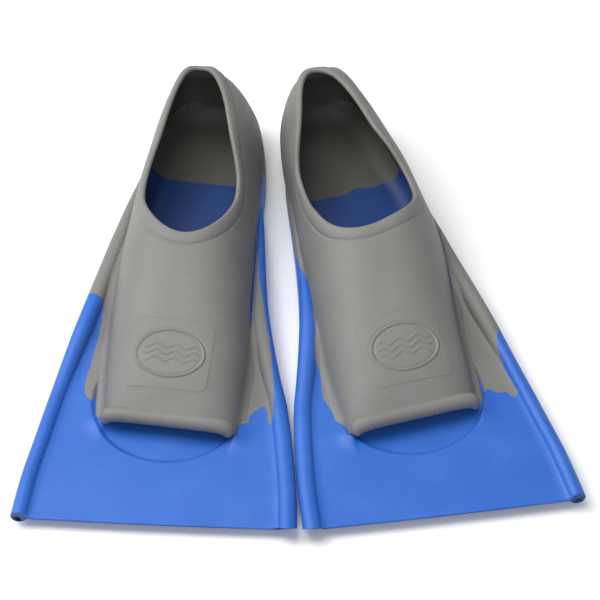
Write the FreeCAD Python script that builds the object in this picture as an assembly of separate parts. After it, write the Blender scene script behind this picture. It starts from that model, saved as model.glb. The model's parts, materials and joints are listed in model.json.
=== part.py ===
"""A pair of short-blade, full-foot, open-toe swim fins in two bonded rubber compounds.

Each fin is drawn once in its own frame and the other fin is its mirror image.
Fin frame, in millimetres: X towards the big-toe side, Y from the blade's tip back to the heel,
Z up from the floor. The two fins then stand side by side, tips together and heels apart.
"""
import FreeCAD
import Part
import math
import os

from FreeCAD import Vector

# --- driving dimensions of one fin ------------------------------------------------------
WEB_TOP = 10.5            # upper face of the blade's web
WEB_BOTTOM = 6.0          # lower face of the web, held off the floor by the rails
WEB_EDGE = 2.2            # thickness of the web at its front edge
WEB_BOW = 3.0             # how far the front edge bows out at its middle
RAIL_WIDTH = 9.5
RAIL_TOP = 16.0           # rail height over the floor along the blade
RAIL_ROOT_TOP = 24.0      # and beside the foot pocket
HINGE_Y = 48.0            # where the blade flexes, measured back from the tip
HINGE_Z = 8.0
HINGE_RADIUS = 8.5
RUN_GAP = 0.3             # clearance between the blade's rounded root and its socket
WALL = 4.5                # rubber wall of the foot pocket
COLLAR_WIDTH = 8.0        # rolled edge round the ankle opening
COLLAR_PROUD = 1.2
FLOOR_HEEL = 14.0         # inner floor height at the heel and at the toes
FLOOR_TOE = 8.0
SOLE_SPLIT_Y = 334.0      # where the grey heel sole meets the blue front footbed
WALL_SPLIT_REAR = 385.0   # side walls run between these two lines
WALL_SPLIT_FRONT = 236.0
SOLE_TOP = 14.0           # the walls stand on the sole at this height
ROLL_RADIUS = 5.75        # half-round bead over the toe opening
ROLL_Z = 21.7
ROLL_ENDS = ((-45.0, 92.0), (49.0, 84.0))
SLOT_SIDES = (-42.0, 44.0)   # the toe opening, as seen from the blade
SLOT_TOP = 16.0
SLOT_Y = (80.0, 118.0)
RECESS_CENTRE = (0.5, 115.5)
RECESS_RADIUS = 56.5
RECESS_DEPTH = 2.5
BADGE_CENTRE = (0.5, 131.5)
BADGE_SIZE = (62.0, 53.0)
BADGE_CORNER = 7.0
BADGE_SKEW = math.radians(-4.5)
BADGE_DEPTH = 1.6
SECTION_POINTS = 21

# Cross-sections of the foot pocket, from toes to heel, drawn a little below the floor that trims them:
# Y, small-toe side, big-toe side, underside, top, taper towards the top, squareness.
POCKET = (
    (70.0, -46.0, 53.0, -1.0, 22.0, 0.06, 4.0),
    (88.0, -48.0, 54.0, -1.0, 29.0, 0.06, 3.6),
    (120.0, -50.0, 56.0, -1.0, 41.5, 0.08, 3.2),
    (160.0, -52.0, 58.0, -1.0, 53.5, 0.10, 3.0),
    (200.0, -53.5, 58.0, -1.0, 64.5, 0.12, 2.8),
    (232.0, -54.0, 58.0, -1.0, 73.0, 0.14, 2.7),
    (250.0, -54.0, 58.0, -1.0, 77.0, 0.16, 2.6),
    (280.0, -52.0, 57.0, -1.0, 81.0, 0.20, 2.6),
    (310.0, -48.0, 54.0, -1.0, 83.0, 0.26, 2.7),
    (340.0, -44.0, 51.0, -1.0, 84.0, 0.32, 2.9),
    (370.0, -40.0, 47.0, -1.0, 84.0, 0.38, 3.1),
    (392.0, -37.0, 43.0, -1.0, 83.5, 0.42, 3.3),
    (403.0, -34.0, 39.0, 1.0, 78.0, 0.42, 3.3),
    (411.0, -30.0, 34.0, 3.0, 68.0, 0.38, 3.1),
    (417.0, -24.0, 27.0, 7.0, 57.0, 0.30, 2.8),
    (421.0, -14.0, 16.0, 14.0, 44.0, 0.20, 2.4),
)

# Outer line of each rail: distance back from the tip and distance from the fin's centre line.
LATERAL_RAIL = (
    (0.0, -102.0), (35.0, -98.8), (72.0, -94.0), (115.0, -88.0), (163.0, -80.0),
    (200.0, -72.5), (240.0, -65.0), (280.0, -58.0), (320.0, -51.0), (352.0, -43.5),
)
MEDIAL_RAIL = (
    (0.0, 102.0), (35.0, 98.6), (72.0, 94.0), (115.0, 87.0), (140.0, 80.5),
    (170.0, 73.5), (205.0, 67.0), (245.0, 62.5), (290.0, 58.0), (320.0, 54.5), (352.0, 50.2),
)

# Plan of the ankle opening's inner edge, anticlockwise.
OPENING = (
    (5.0, 231.0), (22.0, 238.0), (34.0, 250.0), (40.0, 265.0), (41.5, 281.0), (39.5, 300.0),
    (34.0, 324.0), (29.0, 345.0), (22.5, 373.0), (16.0, 391.0), (0.0, 395.0), (-15.5, 391.0),
    (-21.0, 373.0), (-26.0, 352.0), (-30.5, 325.0), (-35.0, 296.0), (-36.0, 272.0),
    (-32.0, 255.0), (-23.0, 242.0), (-10.0, 233.0),
)

# Where each fin stands: X and Y of the middle of its blade tip, and its turn about Z.
PLACES = {
    "right": (-103.2, -223.6, -0.060),
    "left": (102.9, -214.5, 0.199),
}
BIG = 600.0


def box(low, high):
    """A rectangular block between two corners."""
    size = [b - a for a, b in zip(low, high)]
    return Part.makeBox(*size, Vector(*low))


def biggest(shape):
    """The largest solid of a boolean's result."""
    return max(shape.Solids, key=lambda solid: solid.Volume)


def pocket_section(row, inset, floor):
    """One closed section: a tapered superellipse arch standing on a straight underside."""
    y, small, big, low, top, taper, square = row
    low = max(low, floor) if floor is not None else low
    top = top - inset
    middle = (small + big) / 2.0
    half = (big - small) / 2.0 - inset
    points = []
    for i in range(SECTION_POINTS):
        angle = math.pi * i / (SECTION_POINTS - 1)
        across = math.copysign(abs(math.cos(angle)) ** (2.0 / square), math.cos(angle))
        up = math.sin(angle) ** (2.0 / square) if 0 < i < SECTION_POINTS - 1 else 0.0
        points.append(Vector(middle + half * across * (1.0 - taper * up), y, low + (top - low) * up))
    arch = Part.BSplineCurve()
    arch.interpolate(points)
    base = Part.LineSegment(points[-1], points[0])
    return Part.Wire([arch.toShape(), base.toShape()])


def floor_height(y):
    """Height of the inner floor, falling evenly from the heel to the toes."""
    share = (y - RECESS_CENTRE[1]) / (POCKET[-1][0] - RECESS_CENTRE[1])
    return FLOOR_TOE + (FLOOR_HEEL - FLOOR_TOE) * min(max(share, 0.0), 1.0)


def pocket_outside(grow=0.0):
    """The pocket's full outer form, optionally a little larger all round."""
    return Part.makeLoft([pocket_section(row, -grow, None) for row in POCKET], True, True)


def pocket_inside():
    """The hollow for the foot, from behind the toe bead to the heel."""
    first, last = 1, len(POCKET) - 2
    wires = []
    for row in POCKET[first:last + 1]:
        y = row[0]
        if row is POCKET[last]:
            y = y - 1.0
        wires.append(pocket_section((y,) + row[1:], WALL, floor_height(y)))
    return Part.makeLoft(wires, True, True)


def opening_prism(offset):
    """Upright prism over the ankle opening's outline, moved outwards by an offset."""
    count = len(OPENING)
    points = []
    for i in range(count):
        before = OPENING[i - 1]
        after = OPENING[(i + 1) % count]
        along = Vector(after[0] - before[0], after[1] - before[1], 0).normalize()
        out = Vector(along.y, -along.x, 0)
        points.append(Vector(OPENING[i][0], OPENING[i][1], 40.0) + out * offset)
    outline = Part.BSplineCurve()
    outline.interpolate(points, PeriodicFlag=True)
    face = Part.Face(Part.Wire([outline.toShape()]))
    return face.extrude(Vector(0, 0, 80.0))


def rail_section(y, outer, width, top, round_off):
    """Rail section: flat underside, rounded top, its outer side at the given line."""
    inner = outer - math.copysign(width, outer)
    low_x, high_x = min(outer, inner), max(outer, inner)
    r = min(width / 2.0 - 0.3, 4.4)
    bottom = round_off
    points = [
        Vector(low_x, y, bottom), Vector(low_x, y, top - r),
        Vector(low_x + r, y, top), Vector(high_x - r, y, top),
        Vector(high_x, y, top - r), Vector(high_x, y, bottom),
    ]
    diagonal = r * (1.0 - math.sqrt(0.5))
    left = Part.Arc(points[1], Vector(low_x + diagonal, y, top - diagonal), points[2])
    right = Part.Arc(points[3], Vector(high_x - diagonal, y, top - diagonal), points[4])
    return Part.Wire([
        Part.makeLine(points[0], points[1]), left.toShape(), Part.makeLine(points[2], points[3]),
        right.toShape(), Part.makeLine(points[4], points[5]), Part.makeLine(points[5], points[0]),
    ])


def rail(line):
    """One whole rail from its rounded stub at the tip to where it runs out beside the heel."""
    wires = []
    outer = line[0][1]
    inset = math.copysign(1.6, outer)
    wires.append(rail_section(-2.6, outer - inset, RAIL_WIDTH - 3.2, RAIL_TOP - 2.6, 1.6))
    for y, x in line:
        share = min(max((y - 115.0) / 90.0, 0.0), 1.0)
        fade = min(max((y - 250.0) / 100.0, 0.0), 1.0)
        top = RAIL_TOP + (RAIL_ROOT_TOP - RAIL_TOP) * share - 8.0 * fade
        wires.append(rail_section(y, x, RAIL_WIDTH + 5.0 * share, top, 0.0))
    return Part.makeLoft(wires, True, True)


def line_x(line, y):
    """Outer line of a rail at a distance from the tip, by straight interpolation."""
    for (y0, x0), (y1, x1) in zip(line, line[1:]):
        if y <= y1:
            return x0 + (x1 - x0) * (y - y0) / (y1 - y0)
    return line[-1][1]


def web():
    """The whole flat web between the rails, thinning to its bowed front edge."""
    wires = []
    stations = ((-WEB_BOW - 0.5, 0.0), (12.0, 0.55), (HINGE_Y, 1.0), (115.0, 1.0), (230.0, 1.0))
    for y, full in stations:
        thick = WEB_EDGE + (WEB_TOP - WEB_BOTTOM - WEB_EDGE) * full
        low = WEB_TOP - 0.6 * (1.0 - full) - thick
        left = line_x(LATERAL_RAIL, max(y, 0.0)) + RAIL_WIDTH / 2.0
        right = line_x(MEDIAL_RAIL, max(y, 0.0)) - RAIL_WIDTH / 2.0
        corners = [Vector(left, y, low), Vector(right, y, low),
                   Vector(right, y, low + thick), Vector(left, y, low + thick)]
        wires.append(Part.makePolygon(corners + corners[:1]))
    plate = Part.makeLoft(wires, True, True)
    half = -LATERAL_RAIL[0][1] - RAIL_WIDTH
    radius = (half ** 2 + WEB_BOW ** 2) / (2.0 * WEB_BOW)
    disc = Part.makeCylinder(radius, 40.0, Vector(0, radius - WEB_BOW, -10.0))
    return plate.common(disc)


def toe_roll():
    """The half-round bead over the toe opening, with a leg at each end down to the web."""
    (x0, y0), (x1, y1) = ROLL_ENDS
    start = Vector(x0, y0, ROLL_Z)
    end = Vector(x1, y1, ROLL_Z)
    bar = Part.makeCylinder(ROLL_RADIUS, (end - start).Length, start, end - start)
    pieces = []
    for point in (start, end):
        pieces.append(Part.makeSphere(ROLL_RADIUS, point))
        foot = Vector(point.x, point.y, SLOT_TOP - 12.0)
        pieces.append(Part.makeCylinder(ROLL_RADIUS, ROLL_Z - foot.z, foot))
    return bar.fuse(pieces).removeSplitter()


def behind_roll():
    """All above the floor and on the heel side of the upright plane through the toe bead's axis."""
    (x0, y0), (x1, y1) = ROLL_ENDS
    slope = (y1 - y0) / (x1 - x0)
    corners = [Vector(-BIG, y0 + slope * (-BIG - x0), 0), Vector(BIG, y0 + slope * (BIG - x0), 0),
               Vector(BIG, BIG, 0), Vector(-BIG, BIG, 0)]
    face = Part.Face(Part.makePolygon(corners + corners[:1]))
    return face.extrude(Vector(0, 0, 160.0))


def badge_prism():
    """Upright prism over the rounded rectangle of the instep badge."""
    wide, tall = BADGE_SIZE
    plan = box((-wide / 2.0, -tall / 2.0, 20.0), (wide / 2.0, tall / 2.0, 90.0))
    upright = [edge for edge in plan.Edges if abs(edge.tangentAt(edge.FirstParameter).z) > 0.5]
    plan = plan.makeFillet(BADGE_CORNER, upright)
    plan.rotate(Vector(0, 0, 0), Vector(0, 0, 1), math.degrees(BADGE_SKEW))
    plan.translate(Vector(BADGE_CENTRE[0], BADGE_CENTRE[1], 0))
    return plan


def hinge_cylinder(radius):
    """Cylinder about the line where the blade flexes."""
    return Part.makeCylinder(radius, 2 * BIG, Vector(-BIG, HINGE_Y, HINGE_Z), Vector(1, 0, 0))


def split_at_hinge(whole):
    """Cut a rail or the web into its blade part and its root part, with a running gap."""
    ahead = box((-BIG, -BIG, -50.0), (BIG, HINGE_Y, 50.0))
    behind = box((-BIG, HINGE_Y, -50.0), (BIG, BIG, 50.0))
    blade = whole.common(ahead.fuse(hinge_cylinder(HINGE_RADIUS)).removeSplitter())
    root = whole.common(behind).cut(hinge_cylinder(HINGE_RADIUS + RUN_GAP))
    return biggest(blade), biggest(root)


def fin_parts():
    """Every named solid of one fin, in the fin frame."""
    outside = pocket_outside()
    proud = pocket_outside(COLLAR_PROUD)
    hollow = pocket_inside()
    slot = box((SLOT_SIDES[0], SLOT_Y[0], FLOOR_TOE), (SLOT_SIDES[1], SLOT_Y[1], SLOT_TOP))
    opening = opening_prism(0.0)
    collar_zone = opening_prism(COLLAR_WIDTH).common(box((-BIG, 0, 30.0), (BIG, BIG, 200.0)))
    rear = behind_roll()
    roll = toe_roll()
    recess = Part.makeCylinder(RECESS_RADIUS, 10.0, Vector(*RECESS_CENTRE, WEB_TOP - RECESS_DEPTH))

    body = outside.common(rear)
    shell = body.cut(hollow.fuse([slot, opening])).cut(roll)
    upper = shell.common(box((-BIG, -BIG, SOLE_TOP), (BIG, BIG, 200.0)))
    sole = shell.common(box((-BIG, -BIG, -1.0), (BIG, BIG, SOLE_TOP)))
    walls = upper.cut(collar_zone)
    parts = {}
    parts["ankle_collar"] = proud.cut(hollow).cut(opening).common(collar_zone)
    parts["heel_cup"] = walls.common(box((-BIG, WALL_SPLIT_REAR, 0), (BIG, BIG, 200.0)))
    middle = walls.common(box((-BIG, WALL_SPLIT_FRONT, 0), (BIG, WALL_SPLIT_REAR, 200.0)))
    parts["lateral_wall"] = middle.common(box((-BIG, 0, 0), (0, BIG, 200.0)))
    parts["medial_wall"] = middle.common(box((0, 0, 0), (BIG, BIG, 200.0)))
    badge_zone = badge_prism().cut(pocket_outside(-BADGE_DEPTH))
    cover = walls.common(box((-BIG, 0, 0), (BIG, WALL_SPLIT_FRONT, 200.0)))
    parts["instep_cover"] = cover.cut(badge_zone)
    parts["badge_panel"] = cover.common(badge_zone)
    parts["heel_sole"] = sole.common(box((-BIG, SOLE_SPLIT_Y, -1.0), (BIG, BIG, SOLE_TOP)))
    parts["front_footbed"] = sole.common(box((-BIG, 0, -1.0), (BIG, SOLE_SPLIT_Y, SOLE_TOP)))

    plate = web().cut(body).cut(slot).cut(recess)
    rails = {"lateral": rail(LATERAL_RAIL), "medial": rail(MEDIAL_RAIL)}
    for side, whole in rails.items():
        plate = plate.cut(whole)
        blade, root = split_at_hinge(whole.cut(body).cut(roll))
        parts[side + "_rail_tip"] = blade
        parts[side + "_rail_root"] = root
    blade, root = split_at_hinge(biggest(plate))
    parts["blade_web"] = blade
    parts["web_root"] = root.cut(roll)
    parts["toe_roll"] = roll.cut(web().cut(recess)).cut(body.common(hollow.fuse(slot)).common(rear))
    return {name: biggest(shape) for name, shape in parts.items()}


def place(shape, side):
    """Stand a fin's solid where that fin stands in the pair."""
    x, y, turn = PLACES[side]
    placed = shape.copy() if side == "right" else shape.mirror(Vector(0, 0, 0), Vector(1, 0, 0))
    placed.rotate(Vector(0, 0, 0), Vector(0, 0, 1), math.degrees(turn))
    placed.translate(Vector(x, y, 0))
    return placed


def pair():
    """All solids of both fins, centred over the origin on the floor."""
    fin = fin_parts()
    solids = {}
    for side in PLACES:
        for name, shape in fin.items():
            solids[side + "_" + name] = place(shape, side)
    bounds = FreeCAD.BoundBox()
    for shape in solids.values():
        bounds.add(shape.optimalBoundingBox(False, False))
    centre = Vector(-(bounds.XMin + bounds.XMax) / 2.0, -(bounds.YMin + bounds.YMax) / 2.0, -bounds.ZMin)
    for shape in solids.values():
        shape.translate(centre)
    print("pair centred by", tuple(round(value, 3) for value in centre))
    return solids


def main():
    os.makedirs("parts", exist_ok=True)
    for name, shape in pair().items():
        shape.exportStep("parts/%s.step" % name)
        size = shape.BoundBox
        print("%-26s %9.0f mm3  %s  %.0f x %.0f x %.0f" % (
            name, shape.Volume, shape.isValid(), size.XLength, size.YLength, size.ZLength))


main()
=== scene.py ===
"""Looks of a pair of full-foot swim fins: a soft grey foot pocket moulded over a stiffer blue blade.

Each fin is drawn once, in millimetres, in its own drawing frame: X towards the big toe, Y from the
blade's tip back to the heel, Z up from the floor. Arrays of drawn points are then turned, mirrored
for the left fin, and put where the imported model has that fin's blade hinge.
"""

import json
import math

import bpy
import numpy as np
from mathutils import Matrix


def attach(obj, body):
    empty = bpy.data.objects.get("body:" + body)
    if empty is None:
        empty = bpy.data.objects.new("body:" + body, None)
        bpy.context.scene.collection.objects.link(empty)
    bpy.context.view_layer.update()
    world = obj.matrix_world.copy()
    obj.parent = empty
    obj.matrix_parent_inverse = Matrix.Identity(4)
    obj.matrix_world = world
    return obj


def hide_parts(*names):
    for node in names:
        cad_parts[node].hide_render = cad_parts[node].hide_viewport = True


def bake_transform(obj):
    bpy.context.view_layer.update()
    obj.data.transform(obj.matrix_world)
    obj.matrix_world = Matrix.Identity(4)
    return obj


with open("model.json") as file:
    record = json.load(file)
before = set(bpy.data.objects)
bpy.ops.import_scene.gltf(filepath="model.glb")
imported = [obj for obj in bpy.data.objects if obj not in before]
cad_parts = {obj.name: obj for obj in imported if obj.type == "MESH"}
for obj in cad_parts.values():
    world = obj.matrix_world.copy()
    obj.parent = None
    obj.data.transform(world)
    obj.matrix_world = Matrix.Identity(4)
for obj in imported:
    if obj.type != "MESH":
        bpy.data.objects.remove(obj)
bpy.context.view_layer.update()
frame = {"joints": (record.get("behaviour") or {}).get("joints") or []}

# --- driving dimensions, millimetres in a fin's drawing frame ---------------------------------
MM = 0.001
HINGE_Y = 48.0            # the blade flexes here
BEND_FROM, BEND_TO, BEND_Z = 78.0, 18.0, 8.0
WEB_TOP = 10.5            # upper face of the web
WEB_BOTTOM = 6.0
EDGE_TOP = 9.9            # the web thins to this height and thickness at its front edge
EDGE_THICK = 2.4
THIN_FROM = 45.0          # over this length
EDGE_RADIUS = 0.9         # and its corners are rounded off
WEB_BOW = 0.8             # the front edge bows out at its middle
ROD_HALF_HEIGHT = 6.0     # the rails are round rods along the blade
ROD_CLEAR = 4.0           # their lowest line stands this far off the floor
ROD_FILLET = (0.95, 8.5)  # height and reach of the web's rise beside a rod
ROD_TOP = 16.0
ROOT_TOP = 24.0           # and deepen into ribs beside the foot
LATERAL_ROD = 11.8        # width of the rod at the small-toe side
MEDIAL_ROD = 13.4         # and at the big-toe side
ROOT_WIDER = 1.5          # beside the foot the ribs are this much wider
TIP = {"right": (4.1, 0.007), "left": (3.1, 0.06)}   # each blade's front edge: set-back and slope
TIP_AHEAD = 4.4           # the big-toe rod's crest ends this far ahead of the web
TIP_UNDERCUT = 0.8        # and its end is cut back underneath
WALL = 4.5                # rubber wall of the foot pocket
UNDER = -1.0              # the pocket's sections are drawn from just under the floor
ANKLE_Y = 262.0           # upright sections ahead of this line, level slices behind it
TOE_Y = 88.0              # the pocket's toe end
TOE_SLANT = 0.085         # runs forward towards the big toe
TOE_MIDDLE = 2.0          # about this X
WALL_LEVEL = 0.15         # the wall's plan is taken at this share of the pocket's height
FOOT_SUNK = 1.2           # how deep the pocket's foot is set into the web
HEEL_CLOSER = {"right": 0.05, "left": 0.15}   # how much more each heel narrows below its top
HEEL_SQUARER = 1.6        # the heel's sides stand this much squarer than the ankle's
FILLET = 6.0              # quarter round between the wall's foot and the web
RIM = 2.8                 # thickness of the wall at the rolled rim
COLLAR_DEPTH = 13.0       # the wall below the rim is drawn finely down to here
COLLAR_BULGE = (1.3, 2.2, 6.4)      # the collar's rise, its place below the rim and half its breadth
COLLAR_CREASE = (0.55, 8.9, 0.85)   # depth, place and breadth of the crease under it
RECESS = (0.5, 115.5, 56.5)   # centre and radius of the shallow disc ahead of the toes
RECESS_DEPTH = 2.5
RECESS_BEVEL = 2.2
FLOOR_TOE, FLOOR_HEEL = 8.0, 14.0   # height of the footbed at its two ends
FLOOR_FILLET = 17.0       # the footbed curves up into the walls
UNDERSIDE = 5.5           # what lies below this height belongs to the sole and the web's lower face
GREY_LOWEST = 9.0         # outside the pocket the grey compound ends at this height
SOLE_SPLIT_Y = 334.0      # the sole is blue ahead of this line and grey behind it
SOLE_END = 416.5
ALL_GREY = 20.0           # a tone well on the grey side of the parting
BEAD_RADIUS = 5.75        # the roll over the toe opening
BEAD_THIN = 3.2           # is this thick at its legs
BEAD_Z, BEAD_FOOT_Z = 21.7, 8.0     # heights of its top and of its legs' ends
BEAD_MIDDLE, BEAD_HALF, BEAD_Y = 1.8, 45.2, 88.4
BEAD_LEG_TURN = 0.5       # its arch stops this far short of level at both ends
BEAD_SQUARE = 6.0
MOUNDS = ((-46.5, 93.0, -1), (50.0, 84.5, 1))   # the web rises round each leg: X, Y and side
MOUND = (3.2, 2.6, 9.0, 10.0)       # height, and breadth inwards, outwards and lengthways
BADGE = (0.5, 131.5, 62.0, 53.0)    # centre, width and height of the plaque on the instep
BADGE_SKEW = -0.078
BADGE_CORNER = 7.0
BADGE_MARGIN = 0.9        # the groove and its outer lip run this far past the plaque
OVAL = (25.0, 17.5)       # half width and half height of the raised ring
OVAL_SCALE = 20.0         # turns a share of its size into about that many millimetres
WAVES = (-5.0, 0.0, 5.0)  # the wave lines lie at these heights in the oval
WAVE_HEIGHT, WAVE_LENGTH = 1.5, 14.0

# Foot pocket sections: Y, small-toe side, big-toe side, top, lean of both sides inwards at the top,
# sway of the top towards the small-toe side, squareness. The two soft pockets stand differently.
POCKET = {
    "right": np.array((
        (70.0, -46.0, 53.0, 19.0, 3.0, 0.0, 4.0), (88.0, -48.0, 54.0, 26.5, 3.0, 0.0, 3.6),
        (104.0, -49.0, 55.0, 35.0, 3.6, 0.0, 3.4), (120.0, -50.0, 56.0, 41.5, 4.2, 0.0, 3.2),
        (160.0, -52.0, 58.0, 53.5, 5.5, 0.0, 3.0), (200.0, -53.0, 58.5, 64.5, 7.0, 0.8, 2.8),
        (232.0, -53.0, 58.5, 73.0, 8.0, 1.8, 2.7), (262.0, -51.5, 58.0, 78.6, 9.0, 2.0, 2.6),
        (310.0, -47.0, 57.0, 82.5, 9.0, 2.2, 2.6), (345.0, -42.0, 58.0, 84.6, 9.0, 4.0, 2.6),
        (425.0, -37.0, 59.0, 86.6, 9.0, 12.0, 2.6),
    )),
    "left": np.array((
        (70.0, -46.0, 53.0, 19.0, 3.0, 0.0, 4.0), (88.0, -48.0, 54.0, 26.5, 3.0, 0.0, 3.6),
        (104.0, -49.0, 55.0, 35.0, 3.6, 0.0, 3.4), (120.0, -50.0, 56.0, 41.5, 4.2, 0.0, 3.2),
        (160.0, -52.0, 57.0, 53.5, 5.0, -0.6, 3.0), (200.0, -56.5, 56.0, 64.5, 5.2, -2.0, 2.8),
        (232.0, -59.5, 54.0, 73.0, 4.8, -3.5, 2.7), (262.0, -61.0, 52.0, 78.6, 4.6, -7.0, 2.8),
        (310.0, -57.5, 49.0, 82.3, 4.6, -9.0, 2.9), (345.0, -47.0, 46.5, 83.8, 4.6, -8.0, 2.9),
        (425.0, -37.0, 43.5, 85.2, 4.6, -5.0, 2.9),
    )),
}
# Behind the ankle: height share, how far back the slice reaches, its squareness and its narrowing.
HEEL = np.array((
    (0.0, 156.5, 4.6, 0.20), (0.1, 157.5, 4.6, 0.15), (0.3, 159.0, 4.5, 0.12), (0.5, 157.0, 4.5, 0.18),
    (0.7, 151.0, 4.6, 0.27), (0.85, 143.0, 4.8, 0.34), (0.95, 138.5, 5.0, 0.36), (1.0, 123.5, 5.0, 0.34),
))
# Outer lines of the rails: Y and X.
LATERAL_LINE = np.array((
    (0.0, -101.2), (35.0, -98.8), (72.0, -94.0), (115.0, -88.0), (163.0, -80.0), (200.0, -72.5),
    (240.0, -65.0), (280.0, -58.0), (320.0, -51.0), (352.0, -43.5), (375.0, -36.0), (420.0, -30.0),
))
MEDIAL_LINE = {
    "right": np.array((
        (0.0, 101.2), (35.0, 98.6), (72.0, 94.0), (115.0, 87.0), (140.0, 80.5), (170.0, 73.5),
        (205.0, 67.0), (245.0, 62.5), (290.0, 58.0), (320.0, 54.5), (352.0, 50.2), (375.0, 42.0),
        (420.0, 35.0),
    )),
    "left": np.array((
        (0.0, 101.2), (35.0, 98.6), (72.0, 94.0), (115.0, 86.5), (140.0, 79.8), (170.0, 72.0),
        (205.0, 64.3), (245.0, 58.2), (290.0, 53.2), (320.0, 50.5), (352.0, 46.5), (375.0, 40.0),
        (420.0, 33.0),
    )),
}
# Plan of the ankle opening's edge, anticlockwise.
OPENING = {
    "right": np.array((
        (4.7, 229.3), (23.4, 238.9), (32.7, 254.4), (36.9, 270.7), (39.0, 286.5), (37.6, 299.5),
        (33.4, 318.0), (29.0, 334.0), (22.6, 361.0), (17.0, 387.0), (1.2, 392.0), (-12.5, 391.0),
        (-18.5, 375.0),
        (-23.0, 353.0), (-27.6, 323.0), (-33.8, 299.0), (-34.2, 278.5), (-29.0, 257.2), (-20.7, 240.5),
        (-9.4, 231.0),
    )),
    "left": np.array((
        (8.7, 229.0), (22.6, 233.3), (33.6, 245.8), (41.3, 266.0), (44.6, 288.5), (44.6, 306.5),
        (42.2, 322.6), (38.0, 339.0), (31.0, 368.5), (23.5, 382.0), (8.5, 387.5), (-5.0, 387.5),
        (-9.5, 366.0),
        (-15.2, 341.0), (-21.5, 322.0), (-28.0, 308.0), (-34.5, 297.0), (-38.5, 285.0), (-38.0, 271.0),
        (-33.0, 257.0), (-21.0, 240.5), (-6.2, 231.0),
    )),
}
OPENING_CENTRE = np.array((2.0, 312.0))

# Where the grey compound ends on each fin's blade: X and Y round its edge, from the small-toe end of
# the bead, back and round the heel, and forward along the big-toe side.
GREY_EDGE = {
    "right": np.array((
        (-40.0, 95.0), (-46.0, 100.0), (-54.0, 109.5), (-60.2, 115.0), (-63.2, 118.0), (-63.7, 126.0),
        (-61.9, 145.5), (-59.5, 169.0), (-58.2, 190.0), (-58.6, 203.0), (-66.0, 206.0), (-95.0, 208.0),
        (-95.0, 440.0), (95.0, 440.0), (95.0, 356.0), (52.4, 350.0), (50.0, 339.0), (51.0, 303.0),
        (54.3, 265.0), (58.5, 228.6), (65.9, 193.0), (71.0, 165.0), (75.7, 134.0), (77.3, 122.0),
        (76.8, 98.0), (75.7, 96.0), (72.9, 107.7), (71.0, 113.0), (68.4, 113.0), (63.6, 108.4),
        (60.4, 103.0), (60.2, 99.0), (55.3, 95.5), (49.0, 90.5), (40.0, 88.0),
    )),
    "left": np.array((
        (-40.0, 95.0), (-48.0, 101.5), (-58.0, 108.0), (-61.9, 104.5), (-67.0, 101.7), (-70.5, 103.0),
        (-73.4, 97.4), (-76.0, 95.5), (-79.0, 100.0), (-76.9, 110.0), (-74.9, 123.0), (-73.7, 139.0),
        (-75.0, 146.5), (-78.5, 155.0), (-79.6, 163.0), (-74.3, 191.5), (-95.0, 194.0), (-95.0, 440.0),
        (95.0, 440.0), (95.0, 318.0), (54.0, 312.0), (56.0, 267.0), (56.0, 240.0),
        (52.5, 229.0), (53.5, 209.0), (57.3, 182.0), (60.2, 166.0), (61.5, 157.0), (60.2, 150.5),
        (61.7, 133.0), (62.9, 125.0), (61.4, 116.5), (58.5, 107.7), (55.0, 99.6), (49.0, 92.0),
        (40.0, 88.0),
    )),
}
# Rear edge of the blue footbed: X and Y.
BED_EDGE = {
    "right": np.array(((-50.0, 346.0), (-44.0, 344.0), (-20.0, 341.0), (0.0, 339.5), (33.0, 337.5),
                       (60.0, 337.0))),
    "left": np.array(((-50.0, 340.0), (-48.0, 339.0), (-37.0, 328.0), (-32.0, 330.0), (-23.0, 327.6),
                      (-7.0, 328.6), (2.5, 323.5), (11.0, 323.0), (32.0, 321.5), (60.0, 321.0))),
}
# Height of the parting between blue and grey on the pocket's big-toe flank: Y and Z.
PARTING = {
    "right": np.array((
        (88.0, 9.0), (96.0, 9.0), (104.0, -9.0), (240.0, -9.0), (262.0, 16.0), (300.0, 28.0),
        (338.0, 30.0), (356.0, -9.0), (430.0, -9.0),
    )),
    "left": np.array((
        (88.0, 9.0), (96.0, 9.0), (104.0, -9.0), (200.0, -9.0), (230.0, 6.0), (296.0, 8.0),
        (316.0, -9.0), (430.0, -9.0),
    )),
}
# The small-toe flank of either fin is grey, all but its corner by the bead.
SMALL_TOE_PARTING = np.array(((88.0, 9.0), (96.0, 9.0), (104.0, -9.0), (430.0, -9.0)))


# --- curves and surfaces ------------------------------------------------------------------------
def through(table, at):
    """Smooth curve through a table's (place, value) rows. Between neighbours it is a cubic, and its
    slope at a row is the harmonic mean of the slopes on both sides, so it never overshoots."""
    xs, ys = table[:, 0], table[:, 1]
    step = np.diff(xs)
    rise = np.diff(ys) / step
    slope = np.concatenate((rise[:1], np.zeros(len(rise) - 1), rise[-1:]))
    same = rise[:-1] * rise[1:] > 0
    slope[1:-1] = np.where(same, 2 * rise[:-1] * rise[1:] / np.where(same, rise[:-1] + rise[1:], 1.0), 0.0)
    at = np.clip(at, xs[0], xs[-1])
    i = np.clip(np.searchsorted(xs, at, side="right") - 1, 0, len(step) - 1)
    t = (at - xs[i]) / step[i]
    here, there, run = ys[i], ys[i + 1], step[i]
    bend = 3 * (there - here) - run * (2 * slope[i] + slope[i + 1])
    turn = 2 * (here - there) + run * (slope[i] + slope[i + 1])
    return here + run * slope[i] * t + bend * t ** 2 + turn * t ** 3


def ease(low, high, at):
    """0 below low, 1 above high, and 3t^2 - 2t^3 between."""
    t = np.clip((at - low) / (high - low), 0.0, 1.0)
    return t * t * (3 - 2 * t)


def ridge(away, breadth):
    """1 on a line and falling off like a bell, exp(-(distance / breadth)^2), on both sides of it."""
    return np.exp(-(away / breadth) ** 2)


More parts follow.
